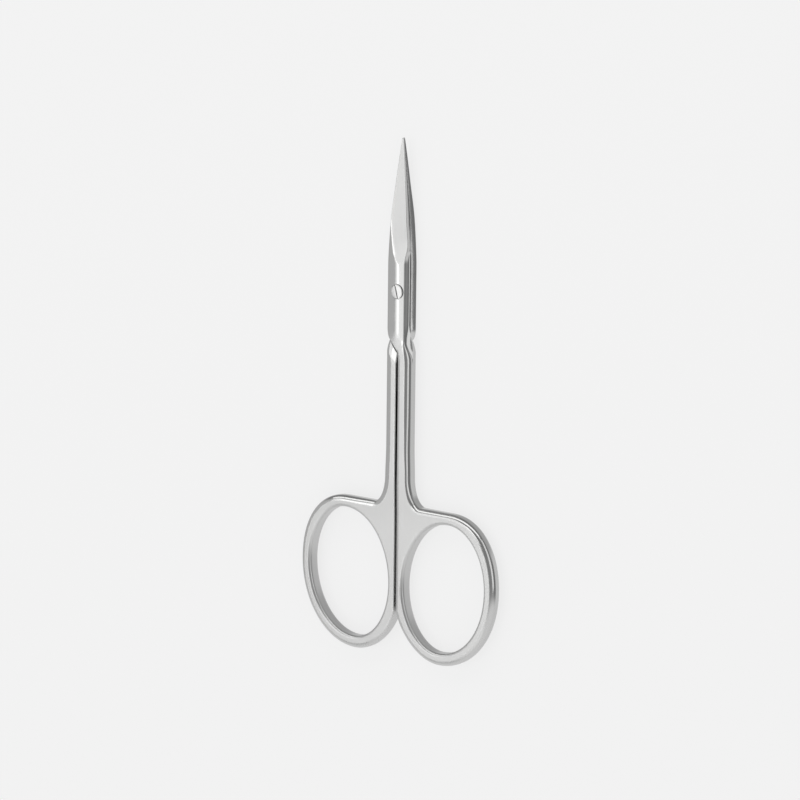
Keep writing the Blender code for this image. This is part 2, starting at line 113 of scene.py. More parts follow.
# the camera sees an even paleness mixed in, so the shadows on the card look weaker
card_even = card_nodes.new("ShaderNodeEmission")
card_even.inputs["Color"].default_value = CARD_PALE
card_path = card_nodes.new("ShaderNodeLightPath")
card_seen = card_nodes.new("ShaderNodeMath")
card_seen.operation = "MULTIPLY"
card_seen.inputs[1].default_value = CARD_EVENNESS
card_mix = card_nodes.new("ShaderNodeMixShader")
card_links.new(card_path.outputs["Is Camera Ray"], card_seen.inputs[0])
card_links.new(card_seen.outputs[0], card_mix.inputs["Fac"])
card_links.new(card_shader.outputs["BSDF"], card_mix.inputs[1])
card_links.new(card_even.outputs["Emission"], card_mix.inputs[2])
card_links.new(card_mix.outputs["Shader"], card_nodes["Material Output"].inputs["Surface"])
card_mesh.materials.append(card_paint)
# the polished edges reflect the room's pale lower half in the card's place
card.visible_glossy = False


# Light. A room shaded from pale to grey and five soft boxes: a broad one and a thin strip up on the
# left, a long one beyond the tips, a small one high up, and one low on the right. The gaps between
# them make the dark lines that run along the polished edges.

# name, azimuth and elevation in degrees, distance, width and height, strength
LAMPS = [
    ("box_left", 206, 61, 1.0, (1.75, 0.54), 0.61),
    ("strip_left", 200, 52, 0.9, (0.70, 0.055), 0.9),
    ("box_tips", 105, 28, 1.0, (2.0, 0.44), 1.15),
    ("box_high", 127, 70, 0.6, (0.22, 0.22), 1.15),
    ("box_right", 19, 20, 0.5, (0.60, 0.26), 0.65),
]

# greys of the room's sides, as stops (height of the direction, grey)
LEFT_GREYS = [(-1.0, 0.75), (-0.45, 0.72), (-0.15, 0.50), (0.05, 0.52), (0.60, 0.55),
              (0.90, 0.48), (0.985, 0.26)]
RIGHT_GREYS = [(-1.0, 0.70), (-0.66, 0.70), (-0.52, 0.24), (-0.20, 0.19), (0.05, 0.26),
               (0.50, 0.34), (0.95, 0.26)]
FAR_GREYS = [(-1.0, 0.50), (-0.5, 0.45), (-0.25, 0.24), (0.1, 0.22), (0.9, 0.24)]
NEAR_LEFT_GREYS = [(-1.0, 0.72), (0.0, 0.80), (0.45, 0.70), (0.70, 0.30), (1.0, 0.30)]
NEAR_RIGHT_GREYS = [(-1.0, 0.72), (0.0, 0.80), (0.9, 0.80), (1.0, 0.60)]

# where one side gives way to the next, as the direction's X or Y
LEFT_TO_RIGHT = (-0.35, 0.35)
NEAR_LEFT_TO_RIGHT = (-0.25, 0.1)
MIDDLE_TO_FAR = (0.22, 0.45)
MIDDLE_TO_NEAR = (-0.20, -0.44)
ROOM_PALE = (0.87, 0.87, 0.87, 1.0)  # the room past the card's edge, as the camera sees it


def soft_box(name, direction, distance, size, strength):
    """Rectangular lamp at a distance along a direction, turned to face the scissors."""
    data = bpy.data.lights.new(name, "AREA")
    data.shape = "RECTANGLE"
    data.size = size[0]
    data.size_y = size[1]
    data.energy = strength * size[0] * size[1] * math.pi
    lamp = bpy.data.objects.new(name, data)
    scene.collection.objects.link(lamp)
    way = Vector(direction).normalized()
    lamp.location = way * distance
    lamp.rotation_euler = way.to_track_quat("Z", "Y").to_euler()
    lamp.visible_camera = False


def way_to(azimuth, elevation):
    """Unit direction: azimuth from +X towards +Y and elevation above the table, in degrees."""
    around = math.radians(azimuth)
    up = math.radians(elevation)
    return (math.cos(up) * math.cos(around), math.cos(up) * math.sin(around), math.sin(up))


for lamp_name, azimuth, elevation, distance, size, strength in LAMPS:
    soft_box(lamp_name, way_to(azimuth, elevation), distance, size, strength)

room = bpy.data.worlds.new("room")
scene.world = room
room.use_nodes = True
room_nodes = room.node_tree.nodes
room_links = room.node_tree.links
room_way = room_nodes.new("ShaderNodeTexCoord")
room_parts = room_nodes.new("ShaderNodeSeparateXYZ")
room_links.new(room_way.outputs["Generated"], room_parts.inputs["Vector"])


def room_side(stops):
    """Grey of one side of the room against the direction's Z, given as stops (z, grey)."""
    span = room_nodes.new("ShaderNodeMapRange")
    span.inputs["From Min"].default_value = -1.0
    span.inputs["From Max"].default_value = 1.0
    room_links.new(room_parts.outputs["Z"], span.inputs["Value"])
    ramp = room_nodes.new("ShaderNodeValToRGB")
    room_links.new(span.outputs["Result"], ramp.inputs["Fac"])
    steps = ramp.color_ramp.elements
    while len(steps) < len(stops):
        steps.new(0.5)
    for step, (z, grey) in zip(steps, stops):
        step.position = (z + 1) / 2
        step.color = (grey, grey, grey, 1.0)
    return ramp.outputs["Color"]


def room_blend(factor, first, second):
    """Mix of two greys, each a socket or a colour: the first at factor 0 and the second at 1."""
    blend = room_nodes.new("ShaderNodeMix")
    blend.data_type = "RGBA"
    room_links.new(factor, blend.inputs["Factor"])
    for socket, value in (("A", first), ("B", second)):
        if isinstance(value, tuple):
            blend.inputs[socket].default_value = value
        else:
            room_links.new(value, blend.inputs[socket])
    return blend.outputs["Result"]


def room_step(socket, start, end):
    """Smooth 0 to 1 as one component of the direction goes from start to end."""
    step = room_nodes.new("ShaderNodeMapRange")
    step.interpolation_type = "SMOOTHSTEP"
    step.inputs["From Min"].default_value = start
    step.inputs["From Max"].default_value = end
    room_links.new(room_parts.outputs[socket], step.inputs["Value"])
    return step.outputs["Result"]


left_side = room_side(LEFT_GREYS)
right_side = room_side(RIGHT_GREYS)
far_side = room_side(FAR_GREYS)
near_left = room_side(NEAR_LEFT_GREYS)
near_right = room_side(NEAR_RIGHT_GREYS)
near_side = room_blend(room_step("X", *NEAR_LEFT_TO_RIGHT), near_left, near_right)
room_path = room_nodes.new("ShaderNodeLightPath")
room_grey = room_blend(room_step("X", *LEFT_TO_RIGHT), left_side, right_side)
room_grey = room_blend(room_step("Y", *MIDDLE_TO_FAR), room_grey, far_side)
room_grey = room_blend(room_step("Y", *MIDDLE_TO_NEAR), room_grey, near_side)
room_seen = room_blend(room_path.outputs["Is Camera Ray"], room_grey, ROOM_PALE)
room_links.new(room_seen, room_nodes["Background"].inputs["Color"])


# Lower half. One steel forging: finger ring, shank, joint and blade. The ring's and shank's faces
# and the blade's outer facet are ground satin. Edges, walls and the joint's crown are polished.

# The half is shaped face up, in x, v and z from the pivot, where v runs towards the tip.
PIVOT = Vector((0.0, 19.2, 1.35))
SEAT_Z = 0.03  # inner face of joint and blade
SHANK_FACE = 1.35  # half thickness of shank and joint
RING_FACE = 1.22  # half thickness of the ring
RING_EASE = 9.0  # length of web over which one becomes the other

# heights along the half
RING_TOP_V = -37.8
SEAM_V = -32.8  # the web ends and the shank begins
LOW_V = -11.1  # foot of the milled shoulder, on the left
SLANT_V = -10.66  # start of the shoulder's slant
TOP_V = -7.80  # where the slant would meet the joint's left side
SHOULDER_V = -8.62  # the shoulder's right end
BEND_V = -6.5  # first level row of the joint
HEEL_V = 4.4  # the blade begins to narrow
GRIND_V = 5.2  # the ground facet begins
TIP_V = 26.8

# places across it
PARTING_X = 0.15  # the side that lies along the other half's shank
SEAM_RIGHT_X = 2.76  # the shank's right side at the seam
SHANK_RIGHT_X = 2.60  # and further up
JOINT_LEFT_X = -2.5
FILLET_END_X = 5.35  # the fillet between shank and ring meets the ring's top

# roundings, as the width over the face and the height down the wall
PARTING_ROUND = (0.75, 0.30)
PARTING_BACK_ROUND = 0.15
SHANK_ROUND = (0.90, 1.10)
SEAM_ROUND = 0.65
BACK_ROUND = (1.40, 0.62)
BACK_LIFT = 0.20  # the back's corner point lies this far above it
RING_ROUND = 1.0
OPENING_ROUND = 0.6

# points round an edge, down the walls and across the shank's back
ROUND_STEPS = 10
WALL_STEPS = 3
FLARE_STEPS = 5
UPPER_STEPS = WALL_STEPS + FLARE_STEPS
FACE_STEPS = 46

# shares of satin finish: 0 is polished and 1 is fully ground
FACE_SATIN = 0.9
OPENING_SATIN = 0.85
RIM_SATIN = 0.75
PARTING_SATIN = 0.5
JOINT_WALL_SATIN = 0.35
SHOULDER_SATIN = 0.4
SEAT_SATIN = 0.8
POINT_SATIN = 0.6

# points nearer than the first are merged, and edges shorter than the second removed, in metres
MERGE_REACH = 0.000002
SLIVER = 0.0000005
TURNED_OVER = (-1.0, 1.0, -1.0)


def smooth_step(low, high, value):
    """0 below low, 1 above high, and 3t^2 - 2t^3 between them."""
    share = np.clip((value - low) / (high - low), 0.0, 1.0)
    return share * share * (3 - 2 * share)


def mix(first, second, share):
    """first + (second - first) * share."""
    return first + (second - first) * share


def after(start, end, count):
    """Evenly spaced values that follow start, the last of them at end."""
    return np.linspace(start, end, count + 1)[1:]


def stack(*columns):
    """Points (x, v, z) from three arrays."""
    return np.stack(np.broadcast_arrays(*columns), axis=-1)


def straight(start, end, steps):
    """Points on the straight line from start to end, for every row at once."""
    share = np.linspace(0.0, 1.0, steps + 1)[:, None]
    return start[..., None, :] + (end - start)[..., None, :] * share


def bulged(start, end, outwards, steps):
    """Points on a shallow arc: the line from start to end, and 4 s (1 - s) times outwards."""
    share = np.linspace(0.0, 1.0, steps + 1)[:, None]
    return straight(start, end, steps) + outwards[..., None, :] * (4 * share * (1 - share))


def eased_corner(start, corner, end, steps):
    """Quarter ellipse that leaves start towards the corner and reaches end from it.

    P(t) = corner - (corner - start) (1 - sin t) - (corner - end) (1 - cos t), where t runs from 0
    to a quarter turn.
    """
    angle = np.linspace(0.0, math.pi / 2, steps + 1)[:, None]
    reach = (corner - start)[..., None, :] * (1 - np.sin(angle))
    drop = (corner - end)[..., None, :] * (1 - np.cos(angle))
    return corner[..., None, :] - reach - drop


def joined(*runs):
    """Runs of points laid end to end, each shared end point kept once."""
    return np.concatenate([runs[0]] + [run[..., 1:, :] for run in runs[1:]], axis=-2)


def grid_faces(rows, columns, first):
    """Quads of a grid of points numbered row by row from first."""
    row, column = np.meshgrid(np.arange(rows - 1), np.arange(columns - 1), indexing="ij")
    corner = first + row * columns + column
    quads = np.stack([corner, corner + 1, corner + columns + 1, corner + columns], axis=-1)
    return quads.reshape(-1, 4)


class Skin:
    """Surface gathered from grids of points, each with its share of satin finish."""

    def __init__(self):
        self.points = []
        self.faces = []
        self.satin = []
        self.count = 0

    def add(self, points, satin):
        """Add a grid of points; satin is one share or a grid of shares."""
        rows, columns = points.shape[:2]
        self.points.append(points.reshape(-1, 3))
        self.satin.append(np.broadcast_to(satin, (rows, columns)).reshape(-1))
        self.faces.append(grid_faces(rows, columns, self.count))
        self.count += rows * columns

    def mesh(self, name, turned_over=False):
        """Closed mesh of the grids, merged at their shared edges and put in its place."""
        points = np.concatenate(self.points)
        if turned_over:
            points = points * TURNED_OVER
        points = (points + np.array(PIVOT)) * MM
        data = bpy.data.meshes.new(name)
        data.from_pydata(points.tolist(), [], np.concatenate(self.faces).tolist())
        share = data.attributes.new("satin", "FLOAT", "POINT")
        share.data.foreach_set("value", np.concatenate(self.satin).astype(np.float32))
        shape = bmesh.new()
        shape.from_mesh(data)
        bmesh.ops.remove_doubles(shape, verts=shape.verts, dist=MERGE_REACH)
        bmesh.ops.dissolve_degenerate(shape, edges=shape.edges, dist=SLIVER)
        bmesh.ops.recalc_face_normals(shape, faces=shape.faces)
        shape.to_mesh(data)
        shape.free()
        return data


# rows of the stem, from the seam to the tip
END_SHARE, END_LENGTH = 0.92, 0.08  # shares of the shank before and in its rounded end
END_POWER = 1.1
SHANK_ROWS, END_ROWS = 26, 18
RISE_ROWS, SLANT_ROWS, BEND_ROWS = 4, 18, 16
BEND_SHARE = 0.18  # the last share of the slant is eased into the joint's side
LEVEL_V = (3.9, 8.4, 14.0)  # heights where the level rows change their spacing
LEVEL_ROWS = (27, 39, 29, 39)
LAST_ROW = 0.15  # from the last row to the tip
TIP_HALF = 0.12  # half width of the blade there
TAPER_POWER = 1.5


def share_from(start, v):
    """Share of the way from start to the tip: 0 below start and 1 at the tip."""
    return np.clip((v - start) / (TIP_V - start), 0.0, 1.0)


def leaf_share(v):
    """Share of the blade's full width that is left at v: 1 - s^1.5, s from the heel to the tip."""
    return 1 - share_from(HEEL_V, v) ** TAPER_POWER


def stem_rows():
    """Every cross-section of shank, joint and blade, as the tracks of its corners.

    The rows start level at the ring, slant until one lies on the milled shoulder, and are level
    again from the joint to the tip. Returns the height of each row's left and right end, the left
    end's place across, the number of the shoulder's row, and how far the shank's end has closed.
    """
    # shank: spaced evenly, then closely over the rounded end of the shoulder
    shares = np.concatenate([
        np.linspace(0.0, END_SHARE, SHANK_ROWS),
        mix(END_SHARE, 1.0, np.sin(after(0.0, math.pi / 2, END_ROWS))),
    ])
    shoulder_row = len(shares) - 1
    # shoulder: the left end rises, runs out along the slant and eases into the joint's side
    slant_start = np.array((PARTING_X, SLANT_V))
    slant_end = np.array((JOINT_LEFT_X, TOP_V))
    bend_start = mix(slant_end, slant_start, BEND_SHARE)
    rise_v = after(LOW_V, SLANT_V, RISE_ROWS)
    left = np.concatenate([
        np.stack([np.full_like(rise_v, PARTING_X), rise_v], axis=-1),
        mix(slant_start, bend_start, after(0.0, 1.0, SLANT_ROWS)[:, None]),
        eased_corner(bend_start, slant_end, np.array((JOINT_LEFT_X, BEND_V)), BEND_ROWS)[1:],
    ])
    # joint and blade: level rows, closer together over the facet's start and near the tip
    levels = np.concatenate([
        after(BEND_V, LEVEL_V[0], LEVEL_ROWS[0]),
        after(LEVEL_V[0], LEVEL_V[1], LEVEL_ROWS[1]),
        after(LEVEL_V[1], LEVEL_V[2], LEVEL_ROWS[2]),
        mix(LEVEL_V[2], TIP_V - LAST_ROW, np.sin(after(0.0, math.pi / 2, LEVEL_ROWS[3]))),
    ])
    v_left = np.concatenate([mix(SEAM_V, LOW_V, shares), left[:, 1], levels])
    v_right = np.concatenate([
        mix(SEAM_V, SHOULDER_V, shares),
        mix(SHOULDER_V, BEND_V, after(0.0, 1.0, len(left))),
        levels,
    ])
    x_left = np.concatenate([
        np.full_like(shares, PARTING_X),
        left[:, 0],
        -mix(TIP_HALF, -JOINT_LEFT_X, leaf_share(levels)),
    ])
    closing = np.zeros(len(v_left))
    closing[:shoulder_row + 1] = np.clip((shares - END_SHARE) / END_LENGTH, 0.0, 1.0) ** END_POWER
    return v_left, v_right, x_left, shoulder_row, closing


# the stem's right side: where each change along it starts and ends
SLIM_V = (SEAM_V, -27.5)  # the shank narrows
FORGED_V = (-12.2, -7.4)  # shank to joint, at the edge and the wall
WAIST_V = (-10.4, -5.6)  # and at the wall's foot
RUNOUT_V = (4.8, 8.0)  # the facet's edge comes out past the joint's wall
SCALLOP_V = (6.2, 7.3)  # the wall under it follows in a short scallop
SWELL_V = (7.5, 12.5)  # the extra width of the heel goes
MILLED_ROWS = 26  # rows over which the milled shoulder becomes the joint
JOINT_EDGE_X, JOINT_WALL_X, JOINT_FOOT_X = 1.50, 1.66, 1.74
BLADE_HALF = 1.70
HEEL_SWELL = 0.25
BLADE_WALL, BLADE_FOOT = 0.01, 0.06  # the blade's wall and foot stand out past its edge
FLARE_GROWTH = 1.6  # height of the foot's flare for each mm that it stands out
FLARE_LEAST, FLARE_SHANK, FLARE_JOINT = 0.004, 0.25, 0.95
FLARE_HOLLOW = (0.36, 0.42)  # corner of the hollow at the wall's foot, as shares

# its outer face
CROWN = 0.055
CROWN_FALL = 0.02  # fall of the crown for each mm past the facet's start
FACET_TIP = 0.22
FACET_POWER = 0.9
FACET_RISE = 0.14  # slope at which the facet leaves the crown below its start
SPINE_LAND, SPINE_LEAST = 0.10, 0.03  # the ridge stays this far from the spine
FOLD_X, FOLD_SHARE = 1.4, 0.55  # middle of the face where there is no ridge
EDGE_HEEL, EDGE_BLADE = 1.20, 0.74  # height of the right edge
EDGE_DOWN_V = 9.6
SOFTNESS, SOFTNESS_LEAST = 0.045, 0.002  # of the meetings, at the heel and at the tip
RIDGE_TILT, STEEPER_LEAST = 0.02, 0.02
BUFFED_DEPTH, BUFFED_CLEAR = 0.034, -0.06  # taken off the ridge, and kept off the crown
BUFFED_IN, BUFFED_FULL = 0.6, 1.6  # the buffing starts before the facet, and is full after it
BUFFED_WIDEST = 0.30
NEAR_COLUMNS, AWAY_COLUMNS = 22, 26
AWAY_POWER = 1.6
RIDGE_ROOM = 0.02

# its corners and walls
NARROWED_V = (-13.0, -9.4)  # the parting's rounding tightens towards the shoulder
JOINT_LEFT_ROUND = 0.15
LEFT_LEAST = 0.03
BROKEN, BROKEN_HEIGHT = 0.30, 0.6  # the spine is broken wider by the tip
BROKEN_ALONG = (0.42, 0.68)
SHANK_ROUND_V = (SEAM_V + 1.0, -19.0)
JOINT_RIGHT_ROUND = 0.08
RIGHT_LEAST = 0.015
LEFT_SET_IN = 0.04
UNDERCUT = 0.42  # the left wall leans in from its corner to its foot
BULGE, BULGE_MORE = 0.035, 0.05  # and bulges a little, more by the shoulder
BULGE_V = (-4.0, -7.5)
WALL_POWER = 0.7
TANGENT_STEP = 0.001
END_DEPTH = 0.46  # the shank's back rises this far at its closed end
POINT_Z = 0.13
POINT_MIDDLE, POINT_SWELL = 0.55, 0.02

# where its satin lies
RIDGE_EASE = (-0.04, 0.06)  # over the ridge on to the facet
EDGE_EASE = (0.02, 0.10)  # short of the cutting edge
FACET_START_V, FACET_START_X, FACET_START_LEAN = 4.9, 1.0, 2.2
START_EASE = (-0.2, 0.3)
FLAT_INSET = 0.06
FLAT_LEFT_EASE, FLAT_RIGHT_EASE = (0.0, 0.25), (0.3, 0.7)
FLAT_END_V = (-6.5, -9.0)
OFF_SEAT = 0.1
TIP_ALONG = (0.72, 0.95)  # the tip's right wall is ground
BACK_LEFT_EASE, BACK_RIGHT_EASE = (0.1, 0.3), (1.25, 1.45)
BACK_END_EASE = (0.0, 0.25)


def stem(skin):
    """Shank, joint and blade: the front skin, the shank's back, the milled shoulder and the seat.

    The outer face is the least of three surfaces, softened where they meet: the crown, which falls
    by 0.055 x^2 from its middle, the facet, which slopes straight down from the ridge to the right
    edge, and the narrow flat along the ridge. Returns the first row of the front and of the back,
    for the ring to join.
    """
    v_left, v_right, x_left, shoulder_row, closing = stem_rows()
    rows = len(v_left)
    along = share_from(HEEL_V, v_right)
    leaf = leaf_share(v_right)
    forged = smooth_step(*FORGED_V, v_right)
    waist = smooth_step(*WAIST_V, v_right)
    milled = smooth_step(0, 1, (np.arange(rows) - shoulder_row) / MILLED_ROWS)
    runout = smooth_step(*RUNOUT_V, v_right)
    scallop = smooth_step(*SCALLOP_V, v_right)

    # right side: the face's edge, the wall under it and the wall's flared foot
    shank_right = mix(SEAM_RIGHT_X, SHANK_RIGHT_X, smooth_step(*SLIM_V, v_right))
    blade_edge = mix(TIP_HALF, BLADE_HALF, leaf) + HEEL_SWELL * (1 - smooth_step(*SWELL_V, v_right))
    x_edge = mix(mix(shank_right, JOINT_EDGE_X, forged), blade_edge, runout)
    x_wall = mix(mix(shank_right, JOINT_WALL_X, forged), blade_edge + BLADE_WALL, scallop)
    x_right = mix(mix(shank_right, JOINT_FOOT_X, waist), blade_edge + BLADE_FOOT * leaf, scallop)
    flare_most = mix(FLARE_SHANK, FLARE_JOINT, forged)
    flare = np.clip(FLARE_GROWTH * (x_right - x_wall), FLARE_LEAST, flare_most)

    # outer face: the crown is cut by the flat facet that runs to the tip
    below = v_right < GRIND_V
    crown = mix(0.0, CROWN, milled)
    height = SHANK_FACE - CROWN_FALL * np.clip(v_right - GRIND_V, 0.0, None)
    facet = mix(FACET_TIP, SHANK_FACE, (1 - share_from(GRIND_V, v_right)) ** FACET_POWER)
    facet = facet + FACET_RISE * np.clip(GRIND_V - v_right, 0.0, None)
    meeting = np.sqrt(np.clip(height - facet, 0.0, None) / CROWN)
    ridge = -np.minimum(meeting, -x_left - SPINE_LAND * leaf - SPINE_LEAST)
    ridge = np.where(below, np.minimum(FOLD_X * (1 - milled), x_edge * FOLD_SHARE), ridge)
    edge_full = mix(EDGE_HEEL, EDGE_BLADE, smooth_step(GRIND_V, EDGE_DOWN_V, v_right))
    edge_face = np.minimum(mix(FACET_TIP, edge_full, leaf), facet)
    tilt_below = (SHANK_FACE - EDGE_HEEL) / JOINT_EDGE_X
    tilt = np.where(below, tilt_below, (facet - edge_face) / (x_edge - ridge))
    softness = SOFTNESS * leaf + SOFTNESS_LEAST
    # the ridge between crown and facet is buffed to a narrow polished flat
    buffing = smooth_step(GRIND_V - BUFFED_IN, GRIND_V + BUFFED_FULL, v_right)
    buffed = mix(BUFFED_CLEAR, BUFFED_DEPTH * leaf, buffing)
    steeper = np.clip(tilt - RIDGE_TILT, STEEPER_LEAST, None)
    buffed_reach = np.clip(buffed / steeper, 0.0, BUFFED_WIDEST)
    apex = height - crown * ridge * ridge

    def outer(x):
        """Height of the outer face at x.

        The softened least of two heights a and b is (a + b - sqrt((a - b)^2 + s^2)) / 2.
        """
        across = x - ridge[:, None]
        crowned = height[:, None] - crown[:, None] * x * x
        ground = facet[:, None] - tilt[:, None] * across
        gap = crowned - ground
        cut = (crowned + ground - np.sqrt(gap * gap + (0.5 * softness[:, None]) ** 2)) / 2
        flat = (apex - buffed)[:, None] - RIDGE_TILT * across
        gap = cut - flat
        return (cut + flat - np.sqrt(gap * gap + (0.25 * softness[:, None]) ** 2)) / 2

    def tangent(x, x_start):
        """Height at x of the outer face's tangent at x_start."""
        start = outer(x_start[:, None])[:, 0]
        slope = (outer((x_start + TANGENT_STEP)[:, None])[:, 0] - start) / TANGENT_STEP
        return start + slope * (x - x_start)

    def place(x, z):
        """Points at the places x across the slanted rows, each row holding a run of them."""
        share = (x - x_left[:, None]) / (x_right - x_left)[:, None]
        return stack(x, mix(v_left[:, None], v_right[:, None], share), z)

    def at(x, z):
        """One point on every row."""
        return place(x[:, None], z[:, None])[:, 0]

    # corners: how wide each is rounded over the face, and how far down the wall
    narrowed = smooth_step(*NARROWED_V, v_left)
    broken = BROKEN * smooth_step(*BROKEN_ALONG, along) * np.sqrt(leaf)
    left_width, left_height = (
        np.maximum(mix(size, JOINT_LEFT_ROUND, narrowed) * leaf, LEFT_LEAST)
        for size in PARTING_ROUND
    )
    left_width = left_width + broken
    left_height = left_height + BROKEN_HEIGHT * broken
    shank_width = mix(SEAM_ROUND, SHANK_ROUND[0], smooth_step(*SHANK_ROUND_V, v_right))
    right_width, right_height = (
        np.maximum(mix(size, JOINT_RIGHT_ROUND, forged) * leaf, RIGHT_LEAST)
        for size in (shank_width, SHANK_ROUND[1])
    )
    undercut = UNDERCUT * milled * leaf ** WALL_POWER
    bulge = (BULGE + BULGE_MORE * smooth_step(*BULGE_V, v_right)) * milled * leaf ** WALL_POWER

    left_edge = x_left + LEFT_SET_IN * milled * leaf
    left_in = left_edge + left_width
    right_in = x_edge - right_width
    seat = np.full(rows, SEAT_Z)
    left_foot = at(left_edge + undercut, seat)
    left_corner = at(left_edge, tangent(left_edge, left_in))
    way = left_foot - left_corner
    left_wall = left_corner + way * (left_height / np.linalg.norm(way, axis=-1))[:, None]
    right_foot = at(x_right, seat)
    right_corner = at(x_edge, tangent(x_edge, right_in))
    flare_top = at(x_wall, seat + flare)
    way = flare_top - right_corner
    right_wall = right_corner + way * (right_height / np.linalg.norm(way, axis=-1))[:, None]
    hollow = at(mix(x_wall, x_right, FLARE_HOLLOW[0]), seat + FLARE_HOLLOW[1] * flare)

    # front skin: left wall, left corner, face, right corner, right wall and its flare
    middle = np.clip(ridge, left_in + RIDGE_ROOM, right_in - RIDGE_ROOM)[:, None]
    near = 1 - (1 - np.linspace(0.0, 1.0, NEAR_COLUMNS)) ** 2
    away = np.linspace(0.0, 1.0, AWAY_COLUMNS) ** AWAY_POWER
    face_x = np.concatenate([
        mix(left_in[:, None], middle, near), mix(middle, right_in[:, None], away)[:, 1:],
    ], axis=1)
    face = place(face_x, outer(face_x))
    front = joined(
        bulged(left_foot, left_wall, at(left_foot[:, 0] - bulge, seat) - left_foot, UPPER_STEPS),
        eased_corner(left_wall, left_corner, face[:, 0], ROUND_STEPS),
        face,
        eased_corner(face[:, -1], right_corner, right_wall, ROUND_STEPS),
        straight(right_wall, flare_top, UPPER_STEPS - FLARE_STEPS),
        eased_corner(flare_top, hollow, right_foot, FLARE_STEPS),
    )
    front_x, front_v, front_z = np.moveaxis(front, -1, 0)
    short_of_edge = x_edge[:, None] - front_x
    on_facet = smooth_step(*RIDGE_EASE, front_x - (ridge + buffed_reach)[:, None])
    on_facet = on_facet * smooth_step(*EDGE_EASE, short_of_edge)
    start_v = FACET_START_LEAN * np.clip(front_x - FACET_START_X, 0.0, None)
    started = smooth_step(*START_EASE, front_v - FACET_START_V - start_v)
    flat_front = smooth_step(*FLAT_LEFT_EASE, front_x - x_left[:, None] - FLAT_INSET)
    flat_front = flat_front * smooth_step(*FLAT_RIGHT_EASE, short_of_edge)
    flat_front = FACE_SATIN * flat_front * smooth_step(*FLAT_END_V, front_v)
    satin = np.maximum(on_facet * started, flat_front) * (front_z > SEAT_Z + OFF_SEAT)
    satin[:, :UPPER_STEPS + 1] = JOINT_WALL_SATIN * milled[:, None]
    satin[:, -UPPER_STEPS - ROUND_STEPS:] = FACE_SATIN * smooth_step(*TIP_ALONG, along)[:, None]
    skin.add(front, satin)

    # back of the shank, down to the rounded end over the milled shoulder
    end = slice(0, shoulder_row + 1)
    back = SHANK_FACE - END_DEPTH * closing

    def low(x, z):
        """One point on every row of the shank."""
        return at(x, z)[end]

    right_top, left_top = low(x_right, seat), low(x_left, seat)
    right_low = low(x_right, BACK_ROUND[1] - back)
    left_low = low(x_left, PARTING_BACK_ROUND - back)
    back_right = low(x_right - BACK_ROUND[0], -back)
    back_left = low(x_left + PARTING_BACK_ROUND, -back)
    under = joined(
        straight(right_top, right_low, WALL_STEPS),
        eased_corner(right_low, low(x_right, BACK_LIFT - back), back_right, ROUND_STEPS),
        straight(back_right, back_left, FACE_STEPS),
        eased_corner(back_left, low(x_left, -back), left_low, ROUND_STEPS),
        straight(left_low, left_top, WALL_STEPS),
    )
    back_flat = smooth_step(*BACK_LEFT_EASE, under[..., 0] - PARTING_X)
    back_flat = back_flat * smooth_step(*BACK_RIGHT_EASE, x_right[end][:, None] - under[..., 0])
    open_back = 1 - smooth_step(*BACK_END_EASE, closing[end][:, None])
    skin.add(under, FACE_SATIN * back_flat * open_back)

    # milled shoulder and seat
    seat_rows = straight(right_foot[shoulder_row:], left_foot[shoulder_row:], under.shape[1] - 1)
    wall = np.stack([mix(under[-1], seat_rows[0], share) for share in (0.0, 0.5, 1.0)])
    skin.add(wall, SHOULDER_SATIN)
    skin.add(seat_rows, SEAT_SATIN)

    # the point of the blade, with a slight swell half way
    loop = np.concatenate([front[-1], seat_rows[-1][1:-1]])
    loop = np.concatenate([loop, loop[:1]])
    point = np.broadcast_to(np.array((0.0, TIP_V, POINT_Z)), loop.shape)
    swollen = mix(loop, point, POINT_MIDDLE) + (0.0, POINT_SWELL, 0.0)
    skin.add(np.stack([loop, swollen, point]), POINT_SATIN)
    return front[0], under[0]


# the ring's egg: its opening, and how thick the rim is at the sides, top and bottom
OPENING_LEFT, OPENING_RIGHT = 1.75, 19.95
OPENING_BOTTOM, OPENING_TOP = -62.95, -39.85
EGG_LEFT_V, EGG_RIGHT_V = -52.324, -50.476  # height of its outermost points at the sides
EGG_BOTTOM_X, EGG_TOP_X = 9.758, 11.76  # and their place at the bottom and top
SIDE_RIM, TOP_RIM, BOTTOM_RIM = 2.25, 2.05, 2.25
EGG_FULLNESS = 0.18  # the outside's upper right is fuller than an ellipse

# stations round the outside, and the angles of the opening that face the ends of its runs
FILLET_STATIONS, TOP_STATIONS, PARTING_STATIONS = 25, 7, 30
EGG_STATIONS = (30, 30, 28)
FACING_SEAM, FACING_FILLET = math.radians(156), math.radians(112)
FACING_PARTING = math.radians(172)
PARTING_NEAR = math.radians(45)
ROUNDER_STATIONS = 6
FLAT_SHARES = np.concatenate([(0.0, 0.02, 0.05), np.linspace(0.1, 0.9, 13), (0.95, 0.98, 1.0)])

# its satin: the outside is polished above the first angle and ground below the second, and the
# grinding of the flat runs over the first columns of the rounding
POLISHED_TO, GROUND_FROM = math.radians(5), math.radians(-32)
GROUND_OVER = 0.85
GROUND_COLUMNS = (3.2, 0.8)


